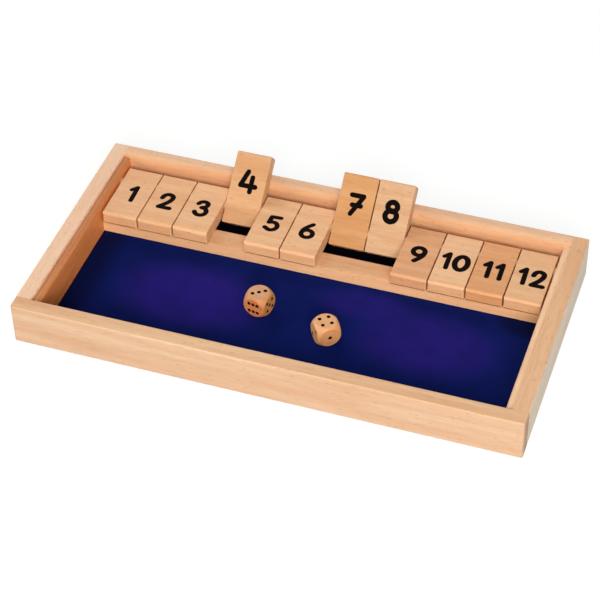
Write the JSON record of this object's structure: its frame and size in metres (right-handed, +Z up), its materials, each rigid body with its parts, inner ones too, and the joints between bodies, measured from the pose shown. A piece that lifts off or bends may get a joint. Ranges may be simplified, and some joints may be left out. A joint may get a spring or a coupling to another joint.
{
  "type": "shut the box game",
  "caption": "Open wooden tray with felt floor, a row of numbered flip tiles on one axle that lean back when raised, and two dice.",
  "frame": {"origin": "centre of the four rails' outline, on the surface that the box stands on", "axes": "+X along the row of tiles towards the higher numbers, +Y from the dice tray to the tiles, +Z up"},
  "size_m": [0.34, 0.1802, 0.0471],
  "materials": {
    "beech_rails": "steamed beech, planed and sanded, clear matt lacquer",
    "beech_strips": "steamed beech, planed, clear matt lacquer",
    "beech_tiles": "steamed beech, tumbled edges, clear matt lacquer",
    "base_board": "raw birch plywood",
    "felt": "pressed wool felt, matt",
    "steel_rod": "bright drawn",
    "fibre_washer": "natural fibre",
    "dice_wood": "tumbled and waxed",
    "black_print": "screen-printed ink, satin",
    "pip_paint": "dark brown paint in drilled dimples"
  },
  "bodies": {
    "box": {"front_rail": "beech_rails", "back_rail": "beech_rails", "left_rail": "beech_rails", "right_rail": "beech_rails", "left_strip": "beech_strips", "right_strip": "beech_strips", "base_board": "base_board", "felt_lining": "felt", "tile_rest": "beech_strips", "axle_rod": "steel_rod", "spacer_washers": "fibre_washer"},
    "tile_1": {"tile_1": "beech_tiles"},
    "tile_2": {"tile_2": "beech_tiles"},
    "tile_3": {"tile_3": "beech_tiles"},
    "tile_4": {"tile_4": "beech_tiles"},
    "tile_5": {"tile_5": "beech_tiles"},
    "tile_6": {"tile_6": "beech_tiles"},
    "tile_7": {"tile_7": "beech_tiles"},
    "tile_8": {"tile_8": "beech_tiles"},
    "tile_9": {"tile_9": "beech_tiles"},
    "tile_10": {"tile_10": "beech_tiles"},
    "tile_11": {"tile_11": "beech_tiles"},
    "tile_12": {"tile_12": "beech_tiles"},
    "die_1": {"die_1": "dice_wood"},
    "die_2": {"die_2": "dice_wood"}
  },
  "joints": [
    {"name": "tile_1_hinge", "type": "hinge", "parent": "box", "child": "tile_1", "pos_m": [-0.14065, 0.061, 0.0184], "axis": [-1, 0, 0], "range_deg": [0, 137.3]},
    {"name": "tile_2_hinge", "type": "hinge", "parent": "box", "child": "tile_2", "pos_m": [-0.11508, 0.061, 0.0184], "axis": [-1, 0, 0], "range_deg": [0, 137.3]},
    {"name": "tile_3_hinge", "type": "hinge", "parent": "box", "child": "tile_3", "pos_m": [-0.08951, 0.061, 0.0184], "axis": [-1, 0, 0], "range_deg": [0, 137.3]},
    {"name": "tile_4_hinge", "type": "hinge", "parent": "box", "child": "tile_4", "pos_m": [-0.06393, 0.061, 0.0184], "axis": [-1, 0, 0], "range_deg": [-137.3, 0]},
    {"name": "tile_5_hinge", "type": "hinge", "parent": "box", "child": "tile_5", "pos_m": [-0.03836, 0.061, 0.0184], "axis": [-1, 0, 0], "range_deg": [0, 137.3]},
    {"name": "tile_6_hinge", "type": "hinge", "parent": "box", "child": "tile_6", "pos_m": [-0.01279, 0.061, 0.0184], "axis": [-1, 0, 0], "range_deg": [0, 137.3]},
    {"name": "tile_7_hinge", "type": "hinge", "parent": "box", "child": "tile_7", "pos_m": [0.01279, 0.061, 0.0184], "axis": [-1, 0, 0], "range_deg": [-137.3, 0]},
    {"name": "tile_8_hinge", "type": "hinge", "parent": "box", "child": "tile_8", "pos_m": [0.03836, 0.061, 0.0184], "axis": [-1, 0, 0], "range_deg": [-137.3, 0]},
    {"name": "tile_9_hinge", "type": "hinge", "parent": "box", "child": "tile_9", "pos_m": [0.06393, 0.061, 0.0184], "axis": [-1, 0, 0], "range_deg": [0, 137.3]},
    {"name": "tile_10_hinge", "type": "hinge", "parent": "box", "child": "tile_10", "pos_m": [0.08951, 0.061, 0.0184], "axis": [-1, 0, 0], "range_deg": [0, 137.3]},
    {"name": "tile_11_hinge", "type": "hinge", "parent": "box", "child": "tile_11", "pos_m": [0.11508, 0.061, 0.0184], "axis": [-1, 0, 0], "range_deg": [0, 137.3]},
    {"name": "tile_12_hinge", "type": "hinge", "parent": "box", "child": "tile_12", "pos_m": [0.14065, 0.061, 0.0184], "axis": [-1, 0, 0], "range_deg": [0, 137.3]},
    {"name": "die_1_lift", "type": "slide", "parent": "box", "child": "die_1", "axis": [0, 0, 1], "range_m": [0, 0.05]},
    {"name": "die_2_lift", "type": "slide", "parent": "box", "child": "die_2", "axis": [0, 0, 1], "range_m": [0, 0.05]}
  ]
}
